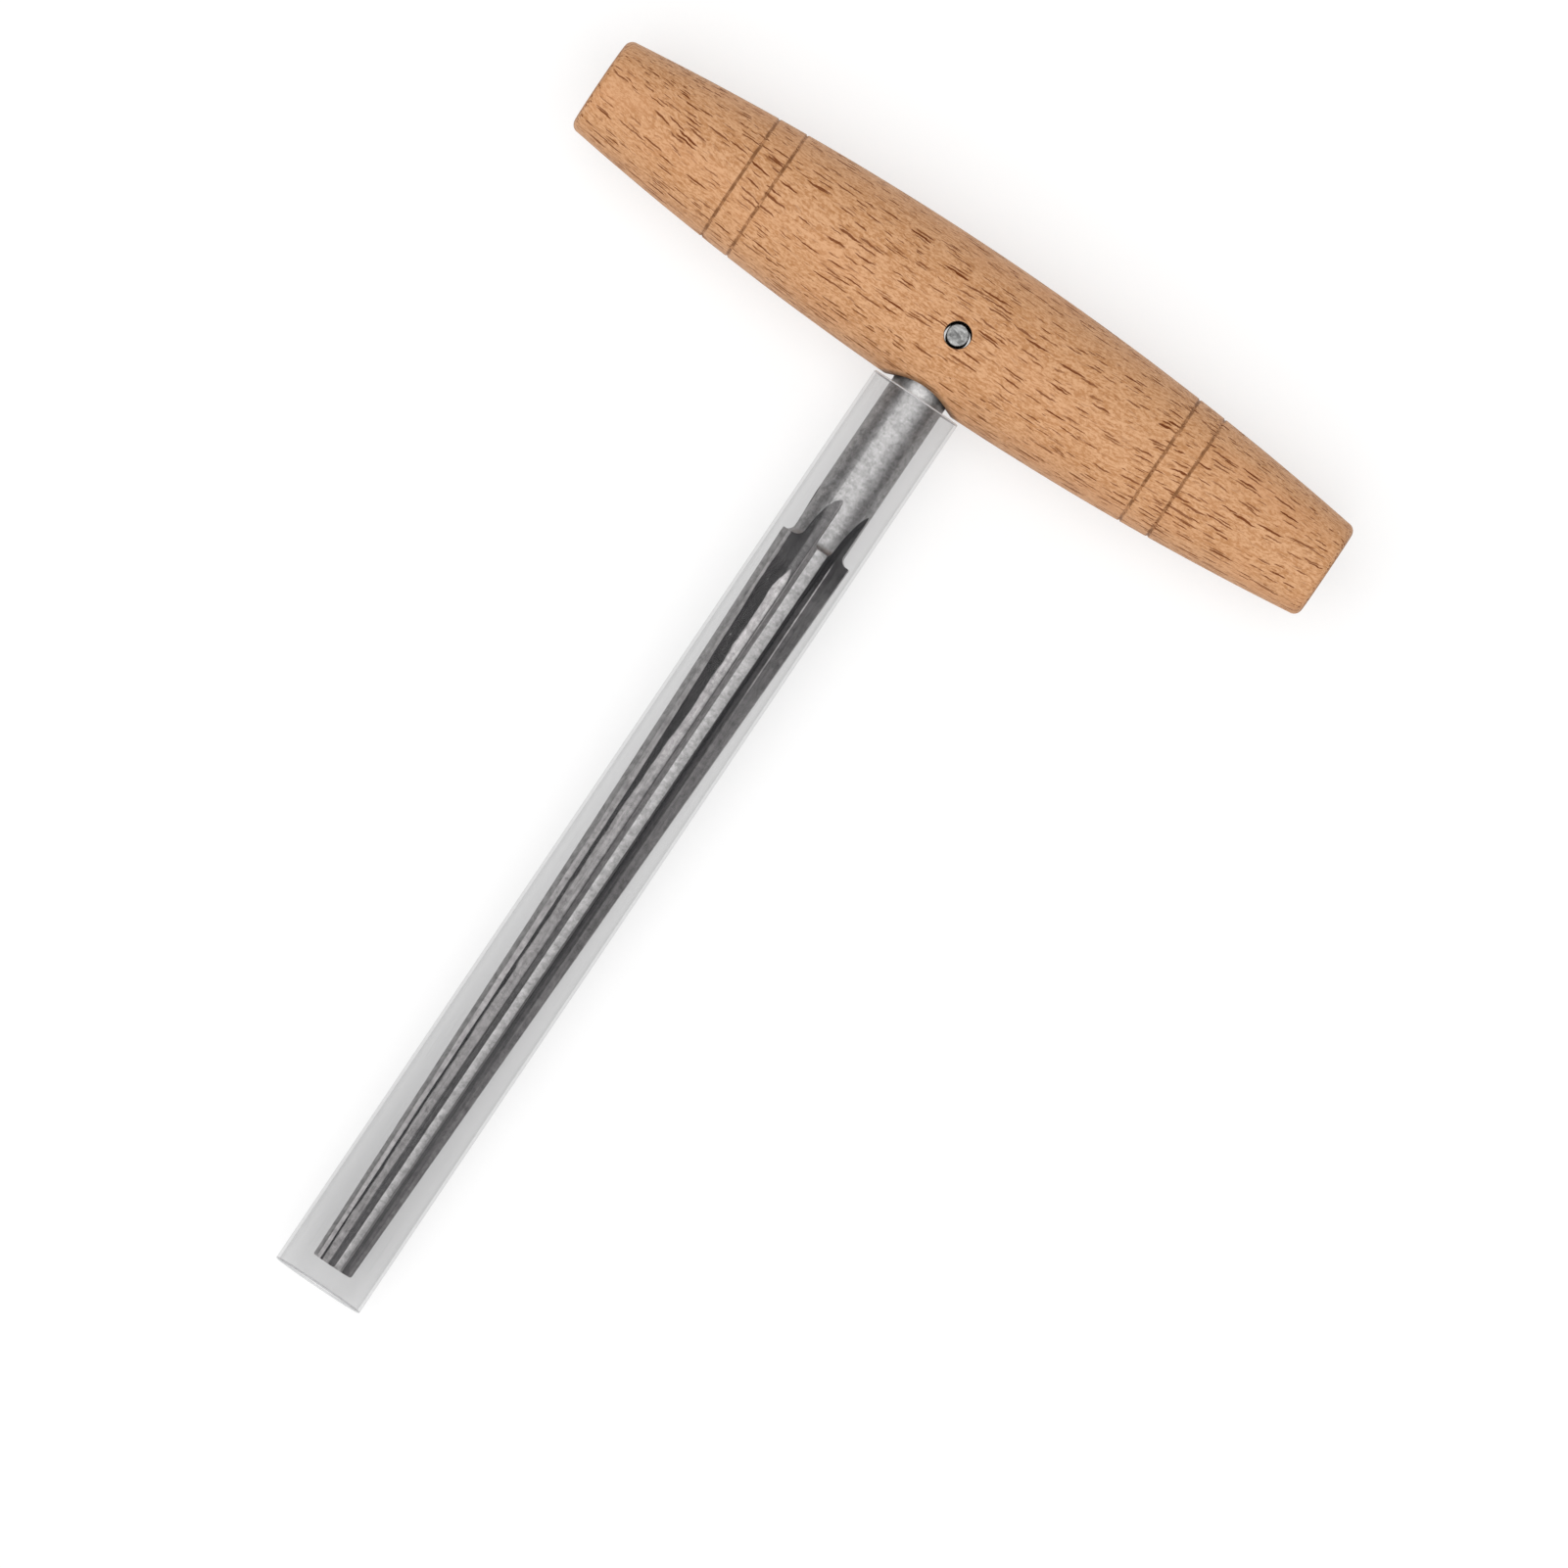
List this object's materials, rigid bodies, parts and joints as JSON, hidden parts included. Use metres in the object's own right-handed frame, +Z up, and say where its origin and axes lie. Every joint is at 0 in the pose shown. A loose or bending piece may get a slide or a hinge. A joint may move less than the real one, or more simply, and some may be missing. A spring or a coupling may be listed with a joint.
{
  "type": "peg reamer",
  "caption": "Hand reamer with a turned wooden cross handle, a pinned tapered steel blade with five long flutes and a clear tube sleeve that slides off the blade.",
  "frame": {"origin": "on the bench under the middle of the tool's bounding box, as it lies flat", "axes": "+Z up off the bench, X along the handle, the blade and its sleeve point along -Y"},
  "size_m": [0.1146, 0.1617, 0.0213],
  "materials": {
    "handle_wood": "sanded beech with short dark pores, satin",
    "blade_steel": "ground steel, satin",
    "pin_steel": "filed flush, dull and mottled",
    "sleeve_plastic": "clear thin tube, slightly hazy"
  },
  "bodies": {
    "tool": {"handle": "handle_wood", "reamer": "blade_steel", "pin": "pin_steel"},
    "guard": {"sleeve": "sleeve_plastic"}
  },
  "joints": [
    {"name": "sleeve_slide", "type": "slide", "parent": "tool", "child": "guard", "axis": [0, -1, 0], "range_m": [0, 0.14]}
  ]
}
